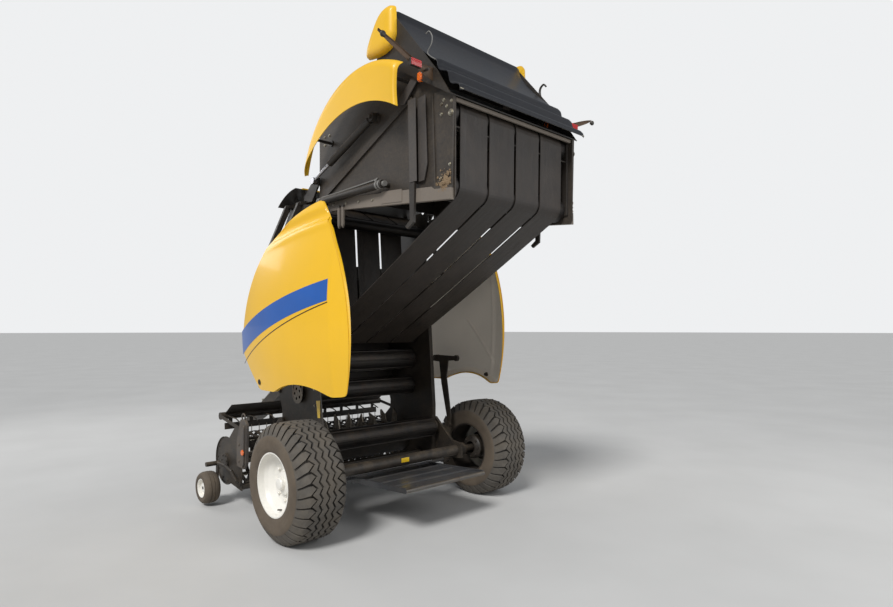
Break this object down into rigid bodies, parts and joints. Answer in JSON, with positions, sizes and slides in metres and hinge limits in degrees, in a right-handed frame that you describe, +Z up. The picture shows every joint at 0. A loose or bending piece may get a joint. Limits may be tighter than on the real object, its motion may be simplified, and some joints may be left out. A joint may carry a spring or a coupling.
{
  "type": "round baler",
  "caption": "Towed round baler with a raised tailgate, open bale chamber with wide belts, tined pickup, drawbar with jack and curved yellow side panels.",
  "frame": {"origin": "on the ground under the middle of the machine's length, tailgate raised and jack down", "axes": "+X forwards along the travel, towards the hitch; +Y to the left; +Z up"},
  "size_m": [4.645, 2.564, 4.043],
  "materials": {
    "yellow_paint": "gloss",
    "black_paint": "satin",
    "grey_metal": "satin",
    "worn_steel": "worn",
    "chrome_rod": "polished",
    "rubber_belt": "matte",
    "tyre_rubber": "matte",
    "white_rim": "gloss",
    "yellow_plastic": "gloss",
    "black_plastic": "satin",
    "lamp_red": "gloss",
    "wing_brown": "satin"
  },
  "bodies": {
    "frame": {"chamber_walls": "black_paint", "cross_members": "black_paint", "axle_beam": "black_paint", "drawbar": "black_paint", "hitch_eye": "worn_steel", "jack_sleeve": "black_paint", "gearbox": "black_paint", "driveline": "black_plastic", "front_shield": "black_paint", "top_hood": "yellow_plastic", "chamber_rolls": "worn_steel", "front_belt_rolls": "worn_steel", "front_belts": "rubber_belt", "inner_belts": "rubber_belt", "drive_chains": "worn_steel"},
    "feeder": {"feeder_rotor": "worn_steel"},
    "pickup": {"pickup_frame": "black_paint", "stripper_bands": "black_paint", "gauge_arms": "black_paint"},
    "wind_guard": {"wind_guard": "black_paint"},
    "pickup_reel": {"pickup_reel": "worn_steel"},
    "gauge_wheel_left": {"gauge_wheel_left": "tyre_rubber"},
    "gauge_wheel_right": {"gauge_wheel_right": "tyre_rubber"},
    "wheel_left": {"tyre_left": "tyre_rubber", "rim_left": "white_rim"},
    "wheel_right": {"tyre_right": "tyre_rubber", "rim_right": "white_rim"},
    "tailgate": {"tailgate_walls": "black_paint", "tailgate_beams": "black_paint", "tailgate_rolls": "worn_steel", "tailgate_belts": "rubber_belt", "side_shields": "yellow_plastic", "net_box": "black_paint", "net_box_caps": "yellow_plastic", "lamp_wings": "wing_brown", "rear_lamps": "lamp_red", "latch_hooks": "black_paint", "tension_cylinders": "black_paint"},
    "net_cover": {"net_cover": "black_plastic"},
    "lift_barrel_left": {"lift_barrel_left": "black_paint"},
    "lift_barrel_right": {"lift_barrel_right": "black_paint"},
    "lift_rod_left": {"lift_rod_left": "chrome_rod"},
    "lift_rod_right": {"lift_rod_right": "chrome_rod"},
    "side_panel_left": {"side_panel_left": "yellow_paint"},
    "side_panel_right": {"side_panel_right": "yellow_paint"},
    "jack_leg": {"jack_leg": "grey_metal"},
    "bale_ramp": {"bale_ramp": "black_paint"}
  },
  "joints": [
    {"name": "tailgate_lift", "type": "hinge", "parent": "frame", "child": "tailgate", "pos_m": [-0.3825, 0, 2.66], "axis": [0, 1, 0], "range_deg": [-80, 0], "deforming": ["inner_belts"]},
    {"name": "lift_barrel_left_pivot", "type": "hinge", "parent": "tailgate", "child": "lift_barrel_left", "pos_m": [-1.3825, 0.724, 3.28], "axis": [0, 1, 0], "range_deg": [-4, 1]},
    {"name": "lift_rod_left_slide", "type": "slide", "parent": "lift_barrel_left", "child": "lift_rod_left", "axis": [0.9322, 0, -0.3619], "range_m": [0, 0.42]},
    {"name": "lift_barrel_right_pivot", "type": "hinge", "parent": "tailgate", "child": "lift_barrel_right", "pos_m": [-1.3825, -0.724, 3.28], "axis": [0, 1, 0], "range_deg": [-4, 1]},
    {"name": "lift_rod_right_slide", "type": "slide", "parent": "lift_barrel_right", "child": "lift_rod_right", "axis": [0.9322, 0, -0.3619], "range_m": [0, 0.42]},
    {"name": "wheel_left_spin", "type": "hinge", "parent": "frame", "child": "wheel_left", "pos_m": [-0.8325, 1.06, 0.47], "axis": [0, 1, 0], "continuous": true},
    {"name": "gauge_wheel_left_spin", "type": "hinge", "parent": "pickup", "child": "gauge_wheel_left", "pos_m": [0.5975, 1.191, 0.17], "axis": [0, 1, 0], "continuous": true},
    {"name": "side_panel_left_hinge", "type": "hinge", "parent": "frame", "child": "side_panel_left", "pos_m": [-0.2325, 0.74, 2.78], "axis": [1, 0, 0], "range_deg": [0, 65]},
    {"name": "wheel_right_spin", "type": "hinge", "parent": "frame", "child": "wheel_right", "pos_m": [-0.8325, -1.06, 0.47], "axis": [0, 1, 0], "continuous": true},
    {"name": "gauge_wheel_right_spin", "type": "hinge", "parent": "pickup", "child": "gauge_wheel_right", "pos_m": [0.5975, -1.191, 0.17], "axis": [0, 1, 0], "continuous": true},
    {"name": "side_panel_right_hinge", "type": "hinge", "parent": "frame", "child": "side_panel_right", "pos_m": [-0.2325, -0.74, 2.78], "axis": [-1, 0, 0], "range_deg": [0, 65]},
    {"name": "feeder_spin", "type": "hinge", "parent": "frame", "child": "feeder", "pos_m": [0.0175, 0, 0.6], "axis": [0, 1, 0], "continuous": true},
    {"name": "pickup_lift", "type": "hinge", "parent": "frame", "child": "pickup", "pos_m": [0.1175, 0, 0.77], "axis": [0, -1, 0], "range_deg": [0, 12]},
    {"name": "wind_guard_hinge", "type": "hinge", "parent": "pickup", "child": "wind_guard", "pos_m": [0.3575, 0, 0.725], "axis": [0, -1, 0], "range_deg": [0, 6]},
    {"name": "pickup_reel_spin", "type": "hinge", "parent": "pickup", "child": "pickup_reel", "pos_m": [0.5875, 0, 0.4], "axis": [0, 1, 0], "continuous": true},
    {"name": "net_cover_hinge", "type": "hinge", "parent": "tailgate", "child": "net_cover", "pos_m": [-1.6065, 0, 3.968], "axis": [0, 1, 0], "range_deg": [0, 60]},
    {"name": "jack_slide", "type": "slide", "parent": "frame", "child": "jack_leg", "axis": [0, 0, 1], "range_m": [0, 0.35]},
    {"name": "bale_ramp_hinge", "type": "hinge", "parent": "frame", "child": "bale_ramp", "pos_m": [-0.6525, 0, 0.348], "axis": [0, 1, 0], "range_deg": [-12, 0], "stiffness_Nm_per_rad": 1500, "springref_deg": 17.19}
  ],
  "couplings": [
    {"joint": "lift_barrel_left_pivot", "follows": "tailgate_lift", "ratio": 0.03373},
    {"joint": "lift_rod_left_slide", "follows": "tailgate_lift", "m_per_rad": -0.29831},
    {"joint": "lift_barrel_right_pivot", "follows": "tailgate_lift", "ratio": 0.03373},
    {"joint": "lift_rod_right_slide", "follows": "tailgate_lift", "m_per_rad": -0.29831}
  ]
}
